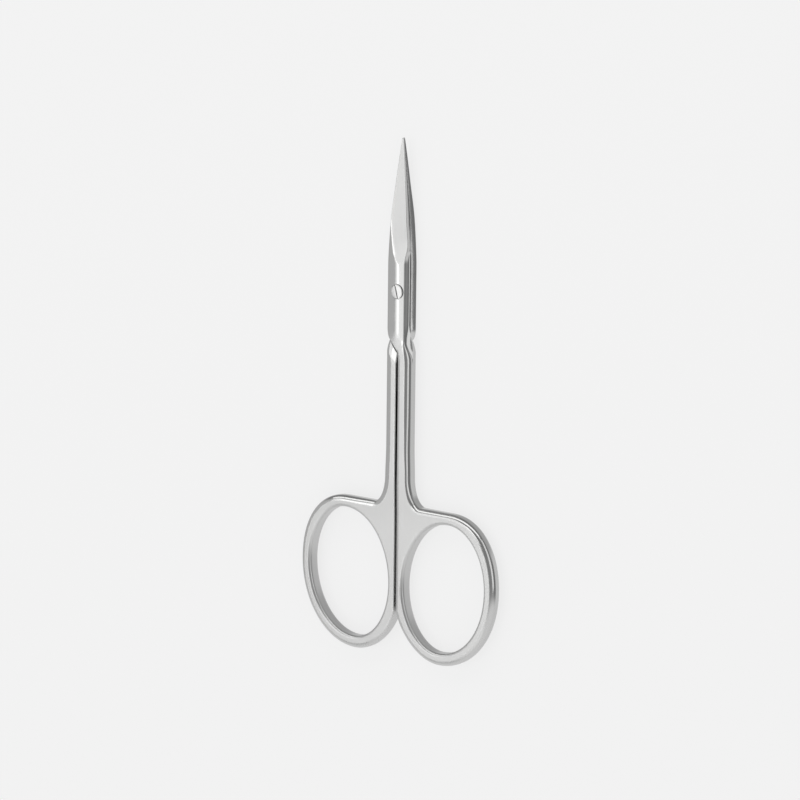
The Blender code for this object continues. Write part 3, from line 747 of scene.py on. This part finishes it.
def rim(edge, outward, half, front_round, back_round, back_lift=0.0):
    """Rim from its front face to its back face: round, flat wall, round.

    The rim's edge is at (x, v) and faces outward. Each round is a width over the face and a height
    down the wall. The wall is split at the plane of the blades' seats.
    """
    zero = np.zeros_like(edge[..., 0])

    def at(depth, z):
        """Points at a depth in from the edge."""
        x, v = (edge[..., axis] - outward[..., axis] * depth for axis in (0, 1))
        return stack(x, v, z)

    front, wall_top = at(front_round[0], half), at(zero, half - front_round[1])
    back, wall_bottom = at(back_round[0], -half), at(zero, back_round[1] - half)
    wall_middle = at(zero, zero + SEAT_Z)
    return joined(
        eased_corner(front, at(zero, half), wall_top, ROUND_STEPS),
        straight(wall_top, wall_middle, UPPER_STEPS),
        straight(wall_middle, wall_bottom, WALL_STEPS),
        eased_corner(wall_bottom, at(zero, back_lift - half), back, ROUND_STEPS),
    )


def egg(angle, wall_share):
    """Point and outward direction on the ring's egg: the opening at share 0 and the outside at 1.

    Four quarter superellipses, |x / a|^p + |v / b|^p = 1, that meet at the top, bottom and sides.
    """
    across = np.cos(angle)
    up = np.sin(angle)
    upper, right = up >= 0, across >= 0
    centre_x = np.where(upper, EGG_TOP_X, EGG_BOTTOM_X)
    centre_v = np.where(right, EGG_RIGHT_V, EGG_LEFT_V)
    reach_x = np.where(right, OPENING_RIGHT, OPENING_LEFT)
    reach_v = np.where(upper, OPENING_TOP, OPENING_BOTTOM)
    power = np.where(upper & right, 2.0 + EGG_FULLNESS * wall_share, 2.0)
    radius_x = np.abs(reach_x - centre_x) + SIDE_RIM * wall_share
    radius_v = np.abs(reach_v - centre_v) + np.where(upper, TOP_RIM, BOTTOM_RIM) * wall_share
    share_x = np.sign(across) * np.abs(across) ** (2 / power)
    share_v = np.sign(up) * np.abs(up) ** (2 / power)
    point = np.stack([centre_x + radius_x * share_x, centre_v + radius_v * share_v], axis=-1)
    slope = np.stack([
        np.sign(across) * np.abs(share_x) ** (power - 1) / radius_x,
        np.sign(up) * np.abs(share_v) ** (power - 1) / radius_v,
    ], axis=-1)
    return point, slope / np.linalg.norm(slope, axis=-1, keepdims=True)


def face_height(v):
    """Half thickness of ring and web at height v: the ring is a little thinner than the shank."""
    return mix(RING_FACE, SHANK_FACE, smooth_step(SEAM_V - RING_EASE, SEAM_V, v))


def ring(skin, front_seam, back_seam):
    """Finger ring and web: sections carried round the opening, joined to the shank's first row."""
    # stations on the outside: fillet, flat top, egg, parting wall
    quarter = math.pi / 2
    turn = np.linspace(0.0, quarter, FILLET_STATIONS)
    across = FILLET_END_X - SEAM_RIGHT_X
    down = SEAM_V - RING_TOP_V
    fillet = np.stack([
        SEAM_RIGHT_X + across * (1 - np.cos(turn)), SEAM_V - down * np.sin(turn),
    ], axis=-1)
    fillet_out = np.stack([np.cos(turn) * down, np.sin(turn) * across], axis=-1)
    fillet_facing = mix(FACING_SEAM, FACING_FILLET, turn / quarter)
    share = after(0.0, 1.0, TOP_STATIONS)
    top_x = mix(FILLET_END_X, EGG_TOP_X, share)
    top = np.stack([top_x, np.full_like(top_x, RING_TOP_V)], axis=-1)
    top_out = np.tile((0.0, 1.0), (TOP_STATIONS, 1))
    top_facing = mix(FACING_FILLET, quarter, share)
    last = -math.acos((PARTING_X - EGG_BOTTOM_X) / (EGG_BOTTOM_X - OPENING_LEFT + SIDE_RIM))
    angles = np.concatenate([
        after(quarter, 0.0, EGG_STATIONS[0]),
        after(0.0, -quarter, EGG_STATIONS[1]),
        after(-quarter, last, EGG_STATIONS[2]),
    ])
    around, around_out = egg(angles, 1.0)
    share = after(0.0, 1.0, PARTING_STATIONS)
    parting_v = mix(around[-1, 1], SEAM_V, share)
    parting = np.stack([np.full_like(parting_v, PARTING_X), parting_v], axis=-1)
    parting_out = np.tile((-1.0, 0.0), (PARTING_STATIONS, 1))
    parting_facing = mix(last, FACING_PARTING - 2 * math.pi, share)

    edge = np.concatenate([fillet, top, around, parting])
    outward = np.concatenate([fillet_out, top_out, around_out, parting_out])
    outward /= np.linalg.norm(outward, axis=-1, keepdims=True)
    facing = np.concatenate([fillet_facing, top_facing, angles, parting_facing])
    place = np.arange(len(edge))
    start = FILLET_STATIONS + TOP_STATIONS
    # the roundings change from the shank's to the ring's, and then to the parting's
    leaving = smooth_step(0, FILLET_STATIONS - 1, place)
    rounder = smooth_step(-ROUNDER_STATIONS, ROUNDER_STATIONS, place - FILLET_STATIONS)
    nearing = np.concatenate([
        np.zeros(start),
        smooth_step(0, 1, 1 - (angles - last) / PARTING_NEAR),
        np.ones(PARTING_STATIONS),
    ])
    front_round = (
        mix(mix(SEAM_ROUND, RING_ROUND, leaving), PARTING_ROUND[0], nearing),
        mix(mix(SHANK_ROUND[1], RING_ROUND, leaving), PARTING_ROUND[1], nearing),
    )
    back_round = (
        mix(mix(BACK_ROUND[0], RING_ROUND, leaving), PARTING_BACK_ROUND, nearing),
        mix(mix(BACK_ROUND[1], RING_ROUND, rounder), PARTING_BACK_ROUND, nearing),
    )
    back_lift = BACK_LIFT * (1 - leaving) * (1 - nearing)
    half = face_height(edge[:, 1] - outward[:, 1] * front_round[0])
    outer_rim = rim(edge, outward, half, front_round, back_round, back_lift)
    upper = ROUND_STEPS + UPPER_STEPS
    lower = ROUND_STEPS + WALL_STEPS
    outer_rim[0] = np.concatenate([front_seam[-upper - 1:], back_seam[1:lower + 1]])
    outer_rim[-1] = np.concatenate([front_seam[:upper + 1][::-1], back_seam[-lower - 1:-1][::-1]])
    below = smooth_step(POLISHED_TO, GROUND_FROM, angles)
    rim_satin = np.concatenate([
        np.zeros(start), RIM_SATIN * below, np.full(PARTING_STATIONS, PARTING_SATIN),
    ])
    ground_over = GROUND_OVER * smooth_step(*GROUND_COLUMNS, np.arange(outer_rim.shape[1]))
    skin.add(outer_rim, np.maximum(rim_satin[:, None], ground_over))

    # the web's stations run on along the shank's front and back edges
    web_facing = mix(FACING_PARTING, FACING_SEAM, after(0.0, 1.0, FACE_STEPS)) - 2 * math.pi
    inside, away = egg(np.concatenate([facing, web_facing]), 0.0)
    inside_half = face_height(inside[:, 1] + OPENING_ROUND * away[:, 1])
    inside_round = (OPENING_ROUND, OPENING_ROUND)
    inner_rim = rim(inside, -away, inside_half, inside_round, inside_round)
    skin.add(inner_rim, OPENING_SATIN)
    front_edge = np.concatenate([outer_rim[:, 0], front_seam[upper + 1:upper + FACE_STEPS + 1]])
    back_edge = np.concatenate([outer_rim[:, -1], back_seam[lower:lower + FACE_STEPS][::-1]])
    satin = np.full((len(front_edge), len(FLAT_SHARES)), FACE_SATIN)
    satin[:, 0] = OPENING_SATIN
    satin[:len(edge), -1] = np.maximum(rim_satin, ground_over[0])
    flats = ((front_edge, inner_rim[:, 0], 1), (back_edge, inner_rim[:, -1], -1))
    for outer_edge, inner_edge, side in flats:
        flat = mix(inner_edge[:, None, :], outer_edge[:, None, :], FLAT_SHARES[None, :, None])
        flat[:, 1:-1, 2] = side * face_height(flat[:, 1:-1, 1])
        skin.add(flat, satin)


def cut_away(data, cutter_data):
    """The mesh with the cutter's volume taken out of it."""
    work = bpy.data.objects.new("work", data)
    cutter = bpy.data.objects.new("cutter", cutter_data)
    scene.collection.objects.link(work)
    scene.collection.objects.link(cutter)
    cut = work.modifiers.new("cut", "BOOLEAN")
    cut.operation = "DIFFERENCE"
    cut.solver = "EXACT"
    cut.object = cutter
    depsgraph = bpy.context.evaluated_depsgraph_get()
    result = bpy.data.meshes.new_from_object(work.evaluated_get(depsgraph))
    bpy.data.objects.remove(work)
    bpy.data.objects.remove(cutter)
    return result


DRILL_SIDES = 96
DRILL_TURN = 0.01  # keeps the drill's corners off the half's own
DRILL_REACH = 4.0
LOWER_HOLE = 0.88  # radius


def drilled(data, profile):
    """The mesh with a round hole cut out: the profile (radius, z) turned about the screw's axis."""
    step = np.arange(DRILL_SIDES)
    after_step = (step + 1) % DRILL_SIDES
    around = step * (2 * math.pi / DRILL_SIDES) + DRILL_TURN
    radius, z = np.array(profile).T
    points = np.stack([
        PIVOT.x + radius[:, None] * np.cos(around),
        PIVOT.y + radius[:, None] * np.sin(around),
        np.broadcast_to(PIVOT.z + z[:, None], (len(radius), DRILL_SIDES)),
    ], axis=-1) * MM
    row = np.arange(len(radius) - 1)[:, None] * DRILL_SIDES
    next_row = row + DRILL_SIDES
    sides = [row + step, row + after_step, next_row + after_step, next_row + step]
    sides = np.stack(sides, axis=-1).reshape(-1, 4)
    ends = [step[::-1].tolist(), ((len(radius) - 1) * DRILL_SIDES + step).tolist()]
    drill = bpy.data.meshes.new("drill")
    drill.from_pydata(points.reshape(-1, 3).tolist(), [], sides.tolist() + ends)
    return cut_away(data, drill)


SHARP_ANGLE = math.radians(30)


def finished(name, data, material, body, node):
    """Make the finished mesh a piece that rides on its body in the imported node's stead."""
    data.name = name
    data.materials.clear()
    data.materials.append(material)
    data.shade_smooth()
    data.set_sharp_from_angle(angle=SHARP_ANGLE)
    thing = bpy.data.objects.new(name, data)
    scene.collection.objects.link(thing)
    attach(thing, body)
    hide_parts(node)


def grain_group():
    """Group: fine grinding lines along Y, soft cloudiness and small polishing marks.

    Lines is noise drawn out along Y, 0.1 mm across and some millimetres long. Clouds is slow noise
    of a few millimetres. Marks is a sparse mask of short dull touches left by handling.
    """
    group = bpy.data.node_groups.new("steel_grain", "ShaderNodeTree")
    group.interface.new_socket("Coordinates", in_out="INPUT", socket_type="NodeSocketVector")
    for name in ("Lines", "Clouds", "Marks"):
        group.interface.new_socket(name, in_out="OUTPUT", socket_type="NodeSocketFloat")
    nodes, links = group.nodes, group.links
    enter = nodes.new("NodeGroupInput")
    leave = nodes.new("NodeGroupOutput")
    stretch = nodes.new("ShaderNodeMapping")
    stretch.inputs["Scale"].default_value = (9000.0, 350.0, 9000.0)

    def noise(scale, detail):
        """Noise texture of a scale and a number of octaves."""
        node = nodes.new("ShaderNodeTexNoise")
        node.inputs["Scale"].default_value = scale
        node.inputs["Detail"].default_value = detail
        return node

    lines = noise(1.0, 3.0)
    lines.inputs["Roughness"].default_value = 0.6
    clouds = noise(420.0, 4.0)
    marks = noise(2600.0, 2.0)
    sparse = nodes.new("ShaderNodeMapRange")
    sparse.interpolation_type = "SMOOTHSTEP"
    sparse.inputs["From Min"].default_value = 0.60
    sparse.inputs["From Max"].default_value = 0.74
    links.new(enter.outputs["Coordinates"], stretch.inputs["Vector"])
    links.new(stretch.outputs["Vector"], lines.inputs["Vector"])
    links.new(enter.outputs["Coordinates"], clouds.inputs["Vector"])
    links.new(enter.outputs["Coordinates"], marks.inputs["Vector"])
    links.new(marks.outputs["Fac"], sparse.inputs["Value"])
    links.new(lines.outputs["Fac"], leave.inputs["Lines"])
    links.new(clouds.outputs["Fac"], leave.inputs["Clouds"])
    links.new(sparse.outputs["Result"], leave.inputs["Marks"])
    return group


# how far clouds, lines and marks move the roughness, the colour and the surface
CLOUDY_ROUGHNESS, LINED_ROUGHNESS, MARKED_ROUGHNESS = 0.10, 0.14, 0.05
DARKEST = 0.93  # share of the colour that is left in the darkest grain
CLOUDY_SHADE, LINED_SHADE, SHADE_LEAST = 0.6, 1.2, 0.3
CLOUDY_BUMP = 0.4
BUMP_STRENGTH, BUMP_METRES = 0.35, 0.000004
HALF_COLOUR = (0.70, 0.70, 0.695)
HALF_POLISHED, HALF_SATIN = 0.12, 0.34  # roughness of the two finishes

steel_grain = grain_group()


def scissor_steel(name, colour, polished, satin):
    """Stainless steel whose roughness runs from polished to satin by the satin attribute."""
    material = bpy.data.materials.new(name)
    material.use_nodes = True
    nodes, links = material.node_tree.nodes, material.node_tree.links
    shader = nodes["Principled BSDF"]
    shader.inputs["Metallic"].default_value = 1.0
    coordinates = nodes.new("ShaderNodeTexCoord")
    grain = nodes.new("ShaderNodeGroup")
    grain.node_tree = steel_grain
    links.new(coordinates.outputs["Object"], grain.inputs["Coordinates"])
    share = nodes.new("ShaderNodeAttribute")
    share.attribute_name = "satin"

    def number(operation, first, second, third=None):
        """Result of a maths node on sockets or plain numbers."""
        node = nodes.new("ShaderNodeMath")
        node.operation = operation
        for socket, value in zip(node.inputs, (first, second, third)):
            if isinstance(value, (int, float)):
                socket.default_value = value
            elif value is not None:
                links.new(value, socket)
        return node.outputs[0]

    # roughness: the finish, moved by slow clouds, by grinding lines where it is satin, and by marks
    base = number("MULTIPLY_ADD", share.outputs["Fac"], satin - polished, polished)
    cloudiness = number("SUBTRACT", grain.outputs["Clouds"], 0.5)
    cloudy = number("MULTIPLY_ADD", cloudiness, CLOUDY_ROUGHNESS, base)
    lining = number("SUBTRACT", grain.outputs["Lines"], 0.5)
    lined = number("MULTIPLY", lining, share.outputs["Fac"])
    rough = number("MULTIPLY_ADD", lined, LINED_ROUGHNESS, cloudy)
    marked = number("MULTIPLY_ADD", grain.outputs["Marks"], MARKED_ROUGHNESS, rough)
    links.new(marked, shader.inputs["Roughness"])

    # colour: a little darker and lighter with the same clouds and lines
    tint = nodes.new("ShaderNodeMix")
    tint.data_type = "RGBA"
    tint.inputs["A"].default_value = tuple(DARKEST * c for c in colour) + (1.0,)
    tint.inputs["B"].default_value = colour + (1.0,)
    shade = number("MULTIPLY_ADD", grain.outputs["Clouds"], CLOUDY_SHADE, SHADE_LEAST)
    links.new(number("MULTIPLY_ADD", lined, LINED_SHADE, shade), tint.inputs["Factor"])
    links.new(tint.outputs["Result"], shader.inputs["Base Color"])

    # surface: the lines stand out where it is satin, over a very slight waviness
    bump = nodes.new("ShaderNodeBump")
    bump.inputs["Strength"].default_value = BUMP_STRENGTH
    bump.inputs["Distance"].default_value = BUMP_METRES
    wave = number("MULTIPLY", grain.outputs["Clouds"], CLOUDY_BUMP)
    links.new(number("ADD", lined, wave), bump.inputs["Height"])
    links.new(bump.outputs["Normal"], shader.inputs["Normal"])
    return material


half_steel = scissor_steel("half_steel", HALF_COLOUR, HALF_POLISHED, HALF_SATIN)

half_skin = Skin()
ring(half_skin, *stem(half_skin))
lower_hole = [(LOWER_HOLE, -DRILL_REACH), (LOWER_HOLE, DRILL_REACH)]
lower_mesh = drilled(half_skin.mesh("lower_blank", turned_over=True), lower_hole)
finished("lower_half_steel", lower_mesh, half_steel, "lower", "lower_half")


# Upper half. The same steel forging turned over, with the same finish. It is drilled clear of the
# screw's neck and sunk for its head.

UPPER_HOLE = 0.90  # radius
SINK_RADIUS = 1.36
SINK_FLOOR = 0.99

upper_hole = [
    (UPPER_HOLE, -DRILL_REACH), (UPPER_HOLE, SINK_FLOOR),
    (SINK_RADIUS, SINK_FLOOR), (SINK_RADIUS, DRILL_REACH),
]
upper_mesh = drilled(half_skin.mesh("upper_blank"), upper_hole)
finished("upper_half_steel", upper_mesh, half_steel, "upper", "upper_half")


# Pivot screw. Turned from stainless bar: a slotted head sunk in the upper half, a plain neck, and
# an end that is screwed into the lower half and filed almost level with its back.

SCREW_SIDES = 96
END_Z, END_EDGE_Z = -1.27, -1.17
END_RADIUS, NECK_RADIUS = 0.75, 0.85
HEAD_Z, HEAD_EDGE_Z = 1.05, 1.40
HEAD_RADIUS, HEAD_ROUND = 1.25, 0.12
DOME_RADIUS, DOME_TOP, DOME_FALL = 1.13, 1.55, 0.03
ROUND_POINTS, DOME_POINTS = 9, 14
SLOT_TURN = math.radians(16)
SLOT_HALF, SLOT_FLOOR, SLOT_REACH = 0.16, 1.40, 4
SCREW_COLOUR = (0.72, 0.72, 0.715)
SCREW_POLISHED, SCREW_SATIN, TURNED_SATIN = 0.14, 0.30, 0.5


def turned(profile, sides):
    """Closed surface of revolution: the profile (radius, z) turned about Z, ends on the axis."""
    around = np.arange(sides + 1) * (2 * math.pi / sides)
    radius, z = np.array(profile).T
    return np.stack([
        radius[:, None] * np.cos(around),
        radius[:, None] * np.sin(around),
        np.broadcast_to(z[:, None], (len(radius), sides + 1)),
    ], axis=-1)


def screw_profile():
    """Radius and height from the end up to the crown of the head.

    The head's top is a shallow dome, 1.55 - 0.03 (r / 1.13)^2 high, that ends in a round of 0.12.
    """
    turn = np.linspace(0.0, math.pi / 2, ROUND_POINTS)
    dome = np.linspace(DOME_RADIUS, 0.0, DOME_POINTS)[1:]
    points = [
        (0.0, END_Z), (END_RADIUS, END_Z), (NECK_RADIUS, END_EDGE_Z), (NECK_RADIUS, HEAD_Z),
        (HEAD_RADIUS, HEAD_Z),
    ]
    points += [
        (DOME_RADIUS + HEAD_ROUND * math.cos(a), HEAD_EDGE_Z + HEAD_ROUND * math.sin(a))
        for a in turn
    ]
    points += [(r, DOME_TOP - DOME_FALL * (r / DOME_RADIUS) ** 2) for r in dome]
    return points


screw_skin = Skin()
screw_skin.add(turned(screw_profile(), SCREW_SIDES), TURNED_SATIN)
slot_box = np.array([
    (x * SLOT_HALF, y * SLOT_REACH, z) for z in (SLOT_FLOOR, SLOT_REACH)
    for x, y in ((-1, -1), (1, -1), (1, 1), (-1, 1))
])
slot_box[:, :2] = slot_box[:, :2] @ np.array([
    (math.cos(SLOT_TURN), math.sin(SLOT_TURN)), (-math.sin(SLOT_TURN), math.cos(SLOT_TURN)),
])
slot_saw = bpy.data.meshes.new("slot_saw")
slot_saw.from_pydata(
    ((slot_box + np.array(PIVOT)) * MM).tolist(), [],
    [(3, 2, 1, 0), (4, 5, 6, 7), (0, 1, 5, 4), (1, 2, 6, 5), (2, 3, 7, 6), (3, 0, 4, 7)],
)
screw_mesh = cut_away(screw_skin.mesh("screw_blank"), slot_saw)
screw_steel = scissor_steel("screw_steel", SCREW_COLOUR, SCREW_POLISHED, SCREW_SATIN)
finished("pivot_screw_steel", screw_mesh, screw_steel, "lower", "pivot_screw")
